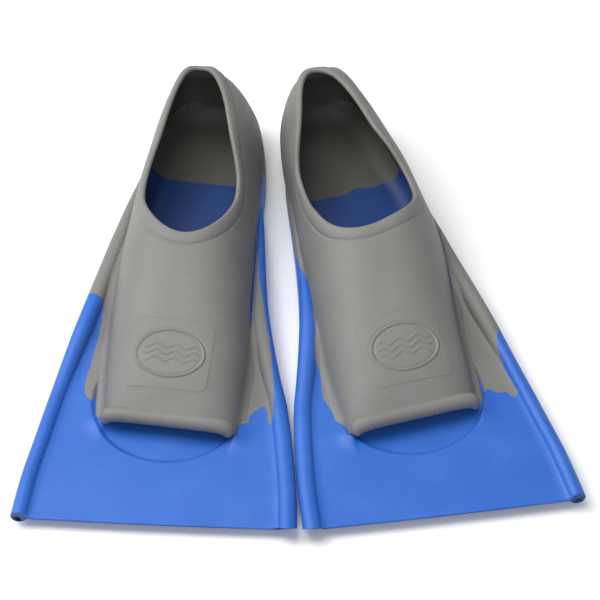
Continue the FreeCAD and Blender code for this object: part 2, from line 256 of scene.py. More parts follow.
def solve(holds, low, high):
    """The place between low and high where holds() turns from true to false, by halving."""
    for _ in range(34):
        middle = (low + high) / 2
        true = holds(middle)
        low = np.where(true, middle, low)
        high = np.where(true, high, middle)
    return (low + high) / 2


def pocket_at(fin, y):
    """Middle, half width, top, lean, sway and squareness of the pocket's section at y."""
    table = POCKET[fin.side]
    small, big, top, lean, sway, square = (through(table[:, (0, i)], y) for i in range(1, 7))
    return (small + big) / 2, (big - small) / 2, top, lean, sway, square


def superellipse(turn, square):
    """The point at an angle on the curve |a|^n + |b|^n = 1, in polar form."""
    a, b = np.cos(turn), np.sin(turn)
    reach = (np.abs(a) ** square + np.abs(b) ** square) ** (-1 / square)
    return reach * a, reach * b


def toe_shift(x):
    """Move along Y of the toe end's slanted line, in proportion to the distance from its middle."""
    return -TOE_SLANT * (x - TOE_MIDDLE)


def slant(x, y):
    """Move along Y of the pocket's surface: the toe end's slant, fading out by the ankle."""
    return toe_shift(x) * (1 - ease(TOE_Y + 4.0, 235.0, y))


def arch(fin, y, turn):
    """Pocket surface ahead of the ankle: at each y an upright superellipse arch, whose turn runs from
    0 at the big-toe side over the top to pi. It narrows and sways evenly with height."""
    middle, half, top, lean, sway, square = pocket_at(fin, y)
    across, up = superellipse(turn, square)
    x = middle + across * (half - lean * up) - sway * up
    return np.stack((x, y + slant(x, y), UNDER + (top - UNDER) * up), -1)


def heel(fin, turn, lift):
    """Pocket surface behind the ankle, in level slices. lift is the angle on the ankle's section, which
    gives a slice its height; turn goes round the slice's superellipse from the big-toe side, behind the
    heel, to the small-toe side. Further back the sides stand squarer and closer together."""
    _, half, _, lean, _, square = pocket_at(fin, np.full(np.shape(turn), ANKLE_Y))
    _, up = superellipse(lift, square)
    depth, slice_square, narrowing = (through(HEEL[:, (0, i)], up) for i in range(1, 4))
    across, back = superellipse(turn, slice_square)
    y = ANKLE_Y + depth * back
    stand = square + HEEL_SQUARER * ease(0.05, 0.6, back)
    out = np.maximum(1 - up ** stand, 0.0) ** (1 / stand)
    middle, _, top, _, sway, _ = pocket_at(fin, y)
    narrowing = narrowing + HEEL_CLOSER[fin.side] * (1 - up ** 4)
    x = middle - sway * up + (half - lean * up) * out * across * (1 - narrowing * back)
    return np.stack((x, y, UNDER + (top - UNDER) * up), -1)


def turns(angle):
    """1, then the cosines and the sines of the first five multiples of an angle."""
    multiples = np.arange(1, 6)
    angle = np.asarray(angle)[..., None] * multiples
    return np.concatenate((np.ones(angle.shape[:-1] + (1,)), np.cos(angle), np.sin(angle)), -1)


def opening_reach(fin, plan):
    """Distance from the opening's centre, less the opening's own reach in that direction. One over the
    reach squared is a short Fourier series of the angle, fitted to the outline's points."""
    spokes = OPENING[fin.side] - OPENING_CENTRE
    series = turns(np.arctan2(spokes[:, 1], spokes[:, 0]))
    weights = np.linalg.lstsq(series, 1 / (spokes ** 2).sum(1), rcond=None)[0]
    spoke = plan - OPENING_CENTRE
    series = turns(np.arctan2(spoke[..., 1], spoke[..., 0]))
    return np.hypot(spoke[..., 0], spoke[..., 1]) - np.maximum(series @ weights, 1e-6) ** -0.5


def foot_height(y):
    """Height at which the pocket's wall ends: set into the web ahead, down to the floor behind."""
    return (WEB_TOP - FOOT_SUNK) * (1 - ease(228.0, 258.0, y)) + 0.2


def base_turn(fin, y):
    """Angle on the arch at which it reaches the height where the wall ends."""
    _, _, top, _, _, square = pocket_at(fin, y)
    share = (foot_height(y) - UNDER) / (top - UNDER)
    return solve(lambda turn: superellipse(turn, square)[1] < share, np.zeros_like(y), np.full_like(y, 1.5))


def section_lines(fin, sides, toe, samples):
    """Paths from over the opening to the wall's foot, ahead of the ankle. Each leaves the top of the
    ankle's section and runs straight, in the sheet of (place round the arch, distance forward), to a
    point of the sheet's edge: down the small-toe side, along the toe, and up the big-toe side."""
    run = np.linspace(0.0, 1.0, sides + 1)
    front = np.linspace(0.0, 1.0, toe + 2)[1:-1]
    edge_side = np.concatenate((np.ones(sides + 1), 1 - front, np.zeros(sides)))
    edge_ahead = np.concatenate((run, np.ones(toe), run[:0:-1]))[:, None]
    edge_side = edge_side[:, None]

    def place(share):
        side = 0.5 + (edge_side - 0.5) * share
        y = ANKLE_Y - (ANKLE_Y - TOE_Y) * edge_ahead * share
        low = base_turn(fin, y)
        return arch(fin, y, low + (np.pi - 2 * low) * side)

    return follow(fin, place, len(edge_side), samples)


def heel_lines(fin, count, samples):
    """Paths down the heel at a fixed turn round it, from the top of its slices to the floor."""
    turn = np.linspace(0.0, np.pi, count + 1)[:-1, None]

    def place(share):
        top = np.full(np.broadcast(turn, share).shape, np.pi / 2)
        low = base_turn(fin, np.full_like(top, ANKLE_Y + 60.0))
        return heel(fin, np.broadcast_to(turn, top.shape), top + (low - top) * share)

    return follow(fin, place, count, samples)


def follow(fin, place, count, samples):
    """Sample each path from the opening's edge to its end."""
    edge = solve(lambda share: opening_reach(fin, place(share)[..., :2]) < 0,
                 np.full((count, 1), 0.04), np.ones((count, 1)))
    return place(edge + (1 - edge) * np.linspace(0.0, 1.0, samples))


def lengths(paths):
    """Distance along each path."""
    steps = np.linalg.norm(np.diff(paths, axis=1), axis=2)
    return np.concatenate((np.zeros((len(paths), 1)), np.cumsum(steps, axis=1)), axis=1)


def at_lengths(paths, wanted):
    """Points of each path at the wanted distances along it, straight between its samples."""
    along = lengths(paths)
    last = along.shape[1] - 2
    after = np.clip((along[:, None, :] <= wanted[:, :, None]).sum(2) - 1, 0, last)
    start, end = np.take_along_axis(along, after, 1), np.take_along_axis(along, after + 1, 1)
    share = ((wanted - start) / np.maximum(end - start, 1e-9))[..., None]
    here = np.take_along_axis(paths, after[..., None], 1)
    there = np.take_along_axis(paths, after[..., None] + 1, 1)
    return here + (there - here) * share


def unit(vectors):
    """Vectors divided by their own lengths."""
    return vectors / np.maximum(np.linalg.norm(vectors, axis=-1, keepdims=True), 1e-9)


def sheet_normals(points):
    """Outward direction at each point of a sheet whose rows close into a ring."""
    round_it = np.roll(points, -1, 0) - np.roll(points, 1, 0)
    down = np.gradient(points, axis=1)
    return unit(np.cross(down, round_it))


def outline_distance(plan, outline):
    """Distance of points from a closed outline, positive inside it."""
    a, b = outline, np.roll(outline, -1, 0)
    p = plan.reshape(-1, 1, 2)
    edge = b - a
    t = np.clip(((p - a) * edge).sum(-1) / (edge ** 2).sum(-1), 0, 1)
    near = np.sqrt((((p - a) - edge * t[..., None]) ** 2).sum(-1)).min(1)
    crosses = ((a[:, 1] > p[..., 1]) != (b[:, 1] > p[..., 1]))
    where = a[:, 0] + (p[..., 1] - a[:, 1]) * edge[:, 0] / np.where(edge[:, 1] == 0, 1e-9, edge[:, 1])
    inside = (crosses & (p[..., 0] < where)).sum(1) % 2 == 1
    return np.where(inside, near, -near).reshape(plan.shape[:-1])


# --- a fin's place, and meshes ------------------------------------------------------------------
class Fin:
    """One fin of the pair: its name, its hand, and where its drawing frame stands."""

    def __init__(self, side, hand):
        joint = next(j for j in frame["joints"] if j["name"] == side + "_blade_flex")
        self.side, self.hand = side, hand
        self.pocket, self.blade = side + "_foot_pocket", side + "_blade"
        self.hinge = np.array(joint["pos_m"], float)
        self.across = -np.array(joint["axis"], float)
        self.back = np.array((-self.across[1], self.across[0], 0.0))

    def place(self, points):
        """Drawn millimetres to metres in the row frame."""
        points = np.asarray(points, float)
        ground = self.hinge * (1, 1, 0)
        x = self.hand * points[..., :1] * MM * self.across
        y = (points[..., 1:2] - HINGE_Y) * MM * self.back
        return ground + x + y + points[..., 2:] * MM * np.array((0, 0, 1.0))


FINS = (Fin("right", 1), Fin("left", -1))


def grid_faces(rows, columns, ring_rows, ring_columns):
    """Four-cornered faces of a grid of points, closed into a ring along either way."""
    i, j = np.meshgrid(np.arange(rows if ring_rows else rows - 1),
                       np.arange(columns if ring_columns else columns - 1), indexing="ij")
    k, m = (i + 1) % rows, (j + 1) % columns
    return np.stack((i * columns + j, k * columns + j, k * columns + m, i * columns + m), -1).reshape(-1, 4)


def make_piece(fin, name, points, faces, caps, flip, values, material):
    """A smooth mesh from drawn points and faces, mirrored for the left fin with its faces turned back."""
    turned = flip != (fin.hand < 0)
    every = [face for face in np.asarray(faces).tolist()] + [list(cap) for cap in caps]
    if turned:
        every = [face[::-1] for face in every]
    mesh = bpy.data.meshes.new(fin.side + "_" + name)
    mesh.from_pydata(fin.place(points.reshape(-1, 3)).tolist(), [], every)
    mesh.polygons.foreach_set("use_smooth", np.ones(len(every), bool))
    for key, value in values.items():
        layer = mesh.attributes.new(key, "FLOAT", "POINT")
        layer.data.foreach_set("value", np.asarray(value, np.float32).ravel())
    mesh.update()
    mesh.materials.append(material)
    piece = bpy.data.objects.new(fin.side + "_" + name, mesh)
    bpy.context.scene.collection.objects.link(piece)
    return piece


# --- the grey foot pocket -------------------------------------------------------------------------
def wall_at(fin, y, sign):
    """X of the pocket's wall low down, on the big-toe side (1) or the small-toe side (-1)."""
    up = WALL_LEVEL
    _, half, _, lean, _, square = pocket_at(fin, np.minimum(y, ANKLE_Y))
    middle, _, _, _, sway, _ = pocket_at(fin, y)
    depth, slice_square, narrowing = (float(through(HEEL[:, (0, i)], np.array(up))) for i in range(1, 4))
    back = np.clip((y - ANKLE_Y) / depth, 0.0, 1.0)
    narrowing += HEEL_CLOSER[fin.side]
    round_heel = (1 - back ** slice_square) ** (1 / slice_square) * (1 - narrowing * back)
    reach = (half - lean * up) * (1 - up ** square) ** (1 / square) * round_heel
    return middle - sway * up + sign * reach


def rail_top(y):
    """Height of a rail's crest: level along the blade, higher beside the foot, falling to the heel."""
    return ROD_TOP + (ROOT_TOP - ROD_TOP) * ease(110.0, 215.0, y) - 8.0 * ease(250.0, 350.0, y)


def rail_width(y, big_toe_side):
    """Width of a rail, growing a little beside the foot."""
    return (MEDIAL_ROD if big_toe_side else LATERAL_ROD) + ROOT_WIDER * ease(115.0, 205.0, y)


def rail_line(fin, y, big_toe_side):
    """Outer line of a rail. Past the rail's end it slips inside the pocket's wall."""
    line = through(MEDIAL_LINE[fin.side] if big_toe_side else LATERAL_LINE, y)
    sign = 1 if big_toe_side else -1
    hidden = wall_at(fin, y, sign) - 2.0 * sign
    return line + (hidden - line) * ease(340.0, 362.0, y)


def gap_beside(fin, y, big_toe_side):
    """Clear distance between the pocket's wall and the rail."""
    sign = 1 if big_toe_side else -1
    return sign * (rail_line(fin, y, big_toe_side) - wall_at(fin, y, sign)) - rail_width(y, big_toe_side)


def valley(fin, y, big_toe_side):
    """Height of the web beside the pocket: it rises where the rail closes up to the pocket's wall."""
    gap = gap_beside(fin, y, big_toe_side)
    return WEB_TOP + (rail_top(y) - 3.0 - WEB_TOP) * (1 - ease(0.5, 13.0, gap)) * ease(120.0, 175.0, y)


def skirt(fin, points, outward):
    """The wall's foot flares into the web or rail in a concave quarter round."""
    x, y, z = points[..., 0], points[..., 1], points[..., 2]
    meets = np.where(x > pocket_at(fin, y)[0], valley(fin, y, True), valley(fin, y, False))
    height = np.clip((z - meets) / FILLET, 0.0, 1.0)
    flare = FILLET * (1 - np.sqrt(1 - (1 - height) ** 2)) * 0.9
    share = ease(TOE_Y + 2.0, TOE_Y + 12.0, y) * (1 - ease(285.0, 345.0, y))
    room = np.where(x > pocket_at(fin, y)[0], gap_beside(fin, y, True), gap_beside(fin, y, False))
    share = share * ease(-2.0, 9.0, room)
    level = unit(outward * (1, 1, 0))
    return points + level * (flare * share)[..., None]


def foot_pocket(fin, material):
    """The soft pocket, all but its bead and badge, as one closed skin. Lines run down from the ankle
    opening to the wall's foot. The outer sheet has a rolled collar with a crease below it, the rim
    turns over in a half round, and the inner sheet lies one wall's thickness inside."""
    lines = np.concatenate((heel_lines(fin, 166, 130), section_lines(fin, 104, 104, 130)))
    total = lengths(lines)[:, -1:]
    near = np.linspace(0.0, COLLAR_DEPTH, 19)[None, :]
    far = np.linspace(0.0, 1.0, 84)[None, 1:]
    start = RIM / 2
    rest = COLLAR_DEPTH + (total - start - COLLAR_DEPTH) * far
    wanted = start + np.concatenate((near + 0 * total, rest), 1)
    outer = at_lengths(lines, wanted)
    out = sheet_normals(outer)
    below = wanted - start
    rise, rise_at, rise_reach = COLLAR_BULGE
    crease, crease_at, crease_breadth = COLLAR_CREASE
    bulge = rise * np.clip(1 - ((below - rise_at) / rise_reach) ** 2, 0.0, 1.0)
    bulge -= crease * ridge(below - crease_at, crease_breadth)
    shell = skirt(fin, outer + out * bulge[..., None], out)
    wall = RIM + (WALL - RIM) * ease(1.0, 14.0, below)
    pick = np.unique(np.round(np.linspace(0, outer.shape[1] - 1, 46)).astype(int))
    inner = (outer - out * wall[..., None])[:, pick][:, ::-1]
    inner[..., 2] = np.maximum(inner[..., 2], 0.4)
    shell[..., 2] = np.maximum(shell[..., 2], 0.2)
    inward = unit(outer[:, :1] - outer[:, 1:2])
    first = bulge[:, :1, None]
    radius = (RIM + first) / 2
    centre = outer[:, :1] + out[:, :1] * (first - radius)
    angle = np.linspace(np.pi, 0.0, 13)[None, 1:-1, None]
    rim = centre + radius * (np.cos(angle) * out[:, :1] + np.sin(angle) * inward)
    points = np.concatenate((shell, inner, rim), 1)

    within = slice(shell.shape[1], shell.shape[1] + inner.shape[1])
    x, y, z = points[..., 0], points[..., 1], points[..., 2]
    medial = z - through(PARTING[fin.side], y)
    lateral = z - through(SMALL_TOE_PARTING, y)
    tone = np.where(x > pocket_at(fin, y)[0], medial, lateral)
    bed = y - through(BED_EDGE[fin.side], x)
    tone[:, within] = np.maximum(bed, z - FLOOR_FILLET - FLOOR_TOE)[:, within]
    tone[:, within.stop:] = ALL_GREY
    rows, columns = points.shape[:2]
    # Painted shade: the whole inner sheet is marked to be darkened in colour.
    painted_shade_inside = np.zeros_like(tone)
    painted_shade_inside[:, within] = 1.0
    piece = make_piece(fin, "pocket_skin", points, grid_faces(rows, columns, True, True), [], True,
                       {"tone": tone, "painted_shade_inside": painted_shade_inside}, material)
    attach(piece, fin.pocket)
    covered = ("ankle_collar", "heel_cup", "lateral_wall", "medial_wall", "instep_cover")
    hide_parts(*(fin.side + "_" + part for part in covered))
    return piece


def toe_bead(fin, material):
    """The roll over the toe opening: an oval carried along a flat-topped arch whose legs run down into
    the web, thinner at the legs."""
    turn = np.linspace(BEAD_LEG_TURN, np.pi - BEAD_LEG_TURN, 110)
    across, up = superellipse(turn, BEAD_SQUARE)
    x = BEAD_MIDDLE + BEAD_HALF * across
    z = BEAD_FOOT_Z + (BEAD_Z - BEAD_FOOT_Z) * up
    y = BEAD_Y + toe_shift(x)
    centre = np.stack((x, y, z), -1)
    along = unit(np.gradient(centre, axis=0))
    level = unit(np.array((TOE_SLANT, 1.0, 0.0)))
    outward = unit(np.cross(along, level))
    thick = BEAD_THIN + (BEAD_RADIUS - BEAD_THIN) * ease(0.25, 0.97, up)
    angle = np.linspace(0.0, 2 * np.pi, 33)[:-1][None, :, None]
    points = centre[:, None] + thick[:, None, None] * np.cos(angle) * outward[:, None]
    points = points + BEAD_RADIUS * np.sin(angle) * level
    rows, columns = points.shape[:2]
    caps = (range(columns), range(rows * columns - 1, (rows - 1) * columns - 1, -1))
    tone = points[..., 2] - GREY_LOWEST
    piece = make_piece(fin, "toe_bead", points, grid_faces(rows, columns, False, True), caps, True,
                       {"tone": tone, "painted_shade_inside": np.zeros_like(tone)}, material)
    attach(piece, fin.pocket)
    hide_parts(fin.side + "_toe_roll")
    return piece


def instep_height(fin, x, y):
    """Height of the pocket's surface over a place ahead of the ankle."""
    section = y
    for _ in range(4):
        section = y - slant(x, section)
    middle, half, top, lean, sway, square = pocket_at(fin, section)

    def within(up):
        reach = (half - lean * up) * (1 - up ** square) ** (1 / square)
        return reach > np.abs(x - middle + sway * up)

    up = solve(within, np.zeros_like(x), np.ones_like(x))
    return UNDER + (top - UNDER) * up


def badge(fin, material):
    """The plaque moulded on the instep: a rounded rectangle inside a fine groove, with a raised oval
    ring round three sine waves. Its relief, a sum of eased steps and bell-shaped ridges, stands on
    the instep's own surface, and a skirt and a cap close it underneath."""
    centre_x, centre_y, wide, tall = BADGE
    a, b = np.meshgrid(np.linspace(-wide / 2 - BADGE_MARGIN, wide / 2 + BADGE_MARGIN, 170),
                       np.linspace(-tall / 2 - BADGE_MARGIN, tall / 2 + BADGE_MARGIN, 146), indexing="ij")
    past_side = np.abs(a) - wide / 2 + BADGE_CORNER
    past_end = np.abs(b) - tall / 2 + BADGE_CORNER
    corner = np.hypot(np.maximum(past_side, 0), np.maximum(past_end, 0))
    inside = BADGE_CORNER - corner - np.minimum(np.maximum(past_side, past_end), 0)
    lift = 0.34 * ease(-0.95, -0.5, inside) + 0.10 * ease(0.25, 0.7, inside)
    lift -= 0.5 * ridge(inside - 0.1, 0.36)
    oval = (np.hypot(a / OVAL[0], b / OVAL[1]) - 1) * OVAL_SCALE
    lift += 0.8 * ridge(oval, 0.62) - 0.3 * ridge(np.abs(oval) - 1.5, 0.5)
    for wave in WAVES:
        line = b - wave - WAVE_HEIGHT * np.sin(2 * np.pi * a / WAVE_LENGTH)
        lift += 0.65 * ridge(line, 0.7) * ease(3.2, 4.2, -oval)
    c, s = math.cos(BADGE_SKEW), math.sin(BADGE_SKEW)
    x, y = centre_x + c * a - s * b, centre_y + s * a + c * b
    surface = np.stack((x, y, instep_height(fin, x, y)), -1)
    out = unit(np.cross(np.gradient(surface, axis=0), np.gradient(surface, axis=1)))
    points = surface + out * (lift - 0.12)[..., None]
    rows, columns = a.shape
    index = np.arange(rows * columns).reshape(rows, columns)
    rim = np.concatenate((index[:, 0], index[-1, 1:], index[-2::-1, -1], index[0, -2:0:-1]))
    under = (surface - out * 1.2).reshape(-1, 3)[rim]
    points = np.concatenate((points.reshape(-1, 3), under))
    first = rows * columns
    low = first + np.arange(len(rim))
    skirt_faces = np.stack((rim, low, np.roll(low, -1), np.roll(rim, -1)), -1)
    faces = np.concatenate((grid_faces(rows, columns, False, False), skirt_faces))
    count = len(points)
    piece = make_piece(fin, "badge", points, faces, [low[::-1].tolist()], False,
                       {"tone": np.full(count, ALL_GREY), "painted_shade_inside": np.zeros(count)}, material)
    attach(piece, fin.pocket)
    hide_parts(fin.side + "_badge_panel")
    return piece


# --- the blue moulding ----------------------------------------------------------------------------
def front_rounding(y):
    """How much the front edge's quarter round takes off a face at y: its radius at the very front, and
    nothing from one radius back."""
    return EDGE_RADIUS * (1 - np.sqrt(1 - np.clip(1 - y / EDGE_RADIUS, 0, 1) ** 2))


def rod_points(fin, y, big_toe_side):
    """Section of one rail as (x, z) round it: from under its inner side, out and over its crest, to the
    web on its inner side. A round rod at the tip; towards the foot its sides stretch up and down.
    Each quarter is x = middle + half cos(t), z = low or high + rise sin(t)."""
    sign = 1 if big_toe_side else -1
    edge = front_rounding(y)
    half = rail_width(y, big_toe_side) / 2 - edge
    rise = ROD_HALF_HEIGHT - edge
    middle = rail_line(fin, y, big_toe_side) * sign - rail_width(y, big_toe_side) / 2
    wall = sign * wall_at(fin, y, sign) - WALL + 1.2
    reach = middle + half
    inner = np.maximum(middle - half, np.minimum(wall, reach - 1.5))
    half = (reach - inner) / 2
    middle = (reach + inner) / 2
    low = ROD_CLEAR * (1 - ease(60.0, 170.0, y)) + ROD_HALF_HEIGHT
    high = rail_top(y) - ROD_HALF_HEIGHT
    under = np.arcsin(np.clip((web_bottom_beside(y) - low) / rise, -0.995, -0.02))
    end = np.minimum(valley(fin, y, big_toe_side) + ROD_FILLET[0] - edge, high + rise * 0.9)
    over = np.arcsin(np.clip((end - high) / rise, 0.0, 0.9))
    ramp = np.linspace(0.0, 1.0, 7)[None, :]
    lower_inner = -np.pi - under + (np.pi / 2 + under) * ramp
    lower_outer = -np.pi / 2 + (np.pi / 2) * ramp[:, 1:]
    upper_outer = (np.pi / 2) * np.linspace(0.0, 1.0, 10)[None, 1:]
    upper_inner = np.pi / 2 + (np.pi / 2 - over) * ramp[:, 1:]
    xs = [middle + half * np.cos(turn) for turn in (lower_inner, lower_outer, upper_outer, upper_inner)]
    zs = [low + rise * np.sin(turn) for turn in (lower_inner, lower_outer)]
    zs += [high + rise * np.sin(turn) for turn in (upper_outer, upper_inner)]
    last_z = zs[-1][:, -1:]
    zs.append(last_z + (np.minimum(end, last_z - 0.02) - last_z) * np.array([[0.35, 0.7, 1.0]]))
    xs.append(xs[-1][:, -1:] - 0.05 * np.array([[0.3, 0.6, 1.0]]))
    return sign * np.concatenate(xs, 1), np.concatenate(zs, 1)


def web_bottom_beside(y):
    """Height of the web's lower face next to a rail."""
    thin = (1 - ease(0.0, THIN_FROM, y)) * (EDGE_TOP - EDGE_THICK - WEB_BOTTOM)
    return (WEB_BOTTOM + thin + front_rounding(y)) * (1 - ease(200.0, 235.0, y))


def in_foot(fin, x, y, margin):
    """1 under the foot pocket and 0 outside it, easing over the three millimetres inside a line that
    stands a margin outside its wall."""
    beside = np.minimum(wall_at(fin, y, 1) + margin - x, x - wall_at(fin, y, -1) + margin)
    ahead = y - (TOE_Y + toe_shift(x)) + 1.0
    return ease(0.0, 3.0, beside) * ease(0.0, 3.0, ahead)


def upper_face(fin, x, y):
    """Height of the blue moulding's upper face between the rails: the web, its shallow disc with a
    bevelled edge, and inside the pocket the footbed, curving up to the walls in a large fillet."""
    web = WEB_TOP - (WEB_TOP - EDGE_TOP) * (1 - ease(0.0, THIN_FROM, y)) - front_rounding(y)
    share = ease(-20.0, 20.0, x)
    web = web + (valley(fin, y, True) - WEB_TOP) * share + (valley(fin, y, False) - WEB_TOP) * (1 - share)
    for big_toe_side, sign in ((True, 1), (False, -1)):
        rods = rod_points(fin, y[:, :1], big_toe_side)[0][:, -1:]
        away = np.clip(sign * (rods - x) / ROD_FILLET[1], 0.0, 1.0)
        web = web + ROD_FILLET[0] * (1 - away) ** 3
    centre_x, centre_y, radius = RECESS
    off = np.hypot(x - centre_x, y - centre_y) - radius
    sunk = 1 - ease(-RECESS_BEVEL / 2, RECESS_BEVEL / 2, off)
    web = web - RECESS_DEPTH * sunk * (1 - ease(120.0, 150.0, y))
    mound, inwards, outwards, lengthways = MOUND
    for end_x, end_y, sign in MOUNDS:
        off = sign * (x - end_x)
        across = np.where(off < 0, inwards, outwards)
        web = web + mound * np.exp(-(off / across) ** 2 - ((y - end_y) / lengthways) ** 2)
    floor = FLOOR_TOE + (FLOOR_HEEL - FLOOR_TOE) * np.clip((y - centre_y) / 300.0, 0, 1)
    fillet = FLOOR_FILLET * ease(125.0, 200.0, y) + 0.5
    beside = np.maximum(x - wall_at(fin, y, 1), wall_at(fin, y, -1) - x) + WALL
    aside = np.maximum(beside + fillet, 0)
    behind = np.maximum(y - (SOLE_END + 1.5 - fillet), 0)
    into = np.minimum(np.hypot(aside, behind), 0.995 * fillet)
    floor = floor + fillet - np.sqrt(fillet ** 2 - into ** 2)
    return web + (floor - web) * in_foot(fin, x, y, -0.5)


def lower_face(fin, x, y):
    """Height of the lower face: the web's, stepping down to the flat sole under the foot."""
    return web_bottom_beside(y) * (1 - in_foot(fin, x, y, 5.0))


def blade_stations():
    """Distances from the tip at which the blade is drawn, close together at its rounded front edge and
    round the disc."""
    spans = ((0.0, EDGE_RADIUS, 4), (EDGE_RADIUS, 58.0, 32), (58.0, 180.0, 104), (180.0, 262.0, 44),
             (262.0, 345.0, 32), (345.0, SOLE_END, 30))
    return np.concatenate([np.linspace(low, high, count, endpoint=False) for low, high, count in spans]
                          + [np.array((SOLE_END,))])[:, None]


def blue_moulding(fin, material):
    """Blade, rails, footbed and sole in one closed body: a section is worked out at each station and
    the sections are joined. Its front edge bows out, and a cap closes each end."""
    y = blade_stations()
    out_x, out_z = rod_points(fin, y, True)
    in_x, in_z = rod_points(fin, y, False)
    share = np.linspace(0.0, 1.0, 152)[None, 1:-1]
    top_x = out_x[:, -1:] + (in_x[:, -1:] - out_x[:, -1:]) * share
    below = np.linspace(0.0, 1.0, 100)[None, 1:-1]
    low_x = in_x[:, :1] + (out_x[:, :1] - in_x[:, :1]) * below
    top_y, low_y = y + 0 * top_x, y + 0 * low_x
    xs = np.concatenate((out_x, top_x, in_x[:, ::-1], low_x), 1)
    top_z, low_z = upper_face(fin, top_x, top_y), lower_face(fin, low_x, low_y)
    zs = np.concatenate((out_z, top_z, in_z[:, ::-1], low_z), 1)
    ys = y + 0 * xs
    bow = WEB_BOW * np.clip(1 - (xs / 90.0) ** 2, 0, 1) * (1 - ease(0.0, THIN_FROM, ys))
    cut = TIP_UNDERCUT * np.clip(ROD_TOP - zs, 0, None) - TIP_AHEAD
    cut *= ease(86.5, 88.5, xs) * (1 - ease(0.0, 24.0, ys))
    set_back, slope = TIP[fin.side]
    trim = (set_back + slope * xs) * np.clip(1 - ys / 70.0, 0, 1) ** 2
    points = np.stack((xs, ys - bow + cut + trim, zs), -1)

    rows, columns = xs.shape
    plan = points[..., :2]
    tone = outline_distance(plan, GREY_EDGE[fin.side])
    inner = (xs < wall_at(fin, ys, 1) - WALL / 2) & (xs > wall_at(fin, ys, -1) + WALL / 2)
    inner &= ys > TOE_Y + 2.0 + toe_shift(xs)
    tone = np.where(inner, ys - through(BED_EDGE[fin.side], xs), tone)
    tone = np.where((zs < GREY_LOWEST) & ~inner, np.minimum(tone, 1.5 * (zs - GREY_LOWEST)), tone)
    under = zs < UNDERSIDE
    tone = np.where(under, ys - SOLE_SPLIT_Y, tone)
    # Painted shade: the footbed grows darker in colour from under the instep back into the pocket.
    painted_shade_inside = np.where(inner & ~under, ease(100.0, 150.0, ys), 0.0)
    caps = (range(columns - 1, -1, -1), range((rows - 1) * columns, rows * columns))
    piece = make_piece(fin, "blade_and_sole", points, grid_faces(rows, columns, False, True), caps, True,
                       {"tone": tone, "painted_shade_inside": painted_shade_inside}, material)
    start = fin.place(np.array((0.0, BEND_FROM, BEND_Z)))
    end = fin.place(np.array((0.0, BEND_TO, BEND_Z)))
    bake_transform(piece)
    covered = ("blade_web", "web_root", "lateral_rail_tip", "lateral_rail_root", "medial_rail_tip",
               "medial_rail_root", "front_footbed", "heel_sole")
    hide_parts(*(fin.side + "_" + part for part in covered))
    return piece


# --- materials ------------------------------------------------------------------------------------
class Value:
    """A number from a shader node; Python's arithmetic on it adds Math nodes."""

    def __init__(self, shade, socket):
        self.shade, self.socket = shade, socket

    def apply(self, operation, *others):
        """A Math node on this value and what follows it."""
        values = dict(enumerate((self,) + others))
        return self.shade.node("ShaderNodeMath", {"operation": operation}, values)

    def flipped(self, operation, other):
        """A Math node with this value second."""
        return self.shade.node("ShaderNodeMath", {"operation": operation}, {0: other, 1: self})

    def __add__(self, other):
        return self.apply("ADD", other)

    def __sub__(self, other):
        return self.apply("SUBTRACT", other)

    def __rsub__(self, other):
        return self.flipped("SUBTRACT", other)

    def __mul__(self, other):
        return self.apply("MULTIPLY", other)

    __radd__, __rmul__ = __add__, __mul__


class Shade:
    """One material and its nodes."""

    def __init__(self, name):
        self.material = bpy.data.materials.new(name)
        self.material.use_nodes = True
        self.tree = self.material.node_tree
        self.surface = self.tree.nodes["Principled BSDF"]

    def node(self, kind, settings, values, output=0):
        """Add a node: its settings first, then a value or link for each of its sockets."""
        made = self.tree.nodes.new(kind)
        for key, value in settings.items():
            setattr(made, key, value)
        for key, value in values.items():
            if isinstance(value, Value):
                self.tree.links.new(value.socket, made.inputs[key])
            else:
                made.inputs[key].default_value = value
        return Value(self, made.outputs[output])

    def noise(self, size, detail=3.0, rough=0.5):
        """Cloudy noise about 0, whose blotches are about this many millimetres across."""
        place = self.node("ShaderNodeTexCoord", {}, {}, "Object")
        scale = 1.0 / (size * MM)
        found = self.node("ShaderNodeTexNoise", {}, {"Vector": place, "Scale": scale, "Detail": detail,
                                                     "Roughness": rough})
        return found - 0.5

    def attribute(self, name):
        """A number carried by the mesh's points."""
        return self.node("ShaderNodeAttribute", {"attribute_name": name}, {}, "Fac")

    def step(self, value, low, high):
        """0 below low, 1 above high, smooth between."""
        return self.node("ShaderNodeMapRange", {"interpolation_type": "SMOOTHSTEP"},
                         {"Value": value, "From Min": low, "From Max": high})

    def mix(self, share, first, second):
        """Colour between two colours."""
        return self.node("ShaderNodeMix", {"data_type": "RGBA"}, {0: share, 6: first, 7: second}, 2)

    def feed(self, socket, value):
        """Link a value to a socket of the surface shader."""
        self.tree.links.new(value.socket, self.surface.inputs[socket])


BLUE = (0.020, 0.112, 0.48, 1.0)
BLUE_WORN = (0.030, 0.134, 0.51, 1.0)
GREY = (0.168, 0.166, 0.159, 1.0)
GREY_DUSTY = (0.198, 0.196, 0.187, 1.0)
# Painted shade: darker copies of both compounds, for the inside of the pocket.
SHADED_BLUE = (0.006, 0.018, 0.075, 1.0)
SHADED_GREY = (0.046, 0.046, 0.038, 1.0)
PAPER = (0.93, 0.93, 0.93, 1.0)
PAPER_PALE = (0.95, 0.95, 0.95, 1.0)
FLOOR_REACH = 6.0         # metres from the middle of the floor to its edges


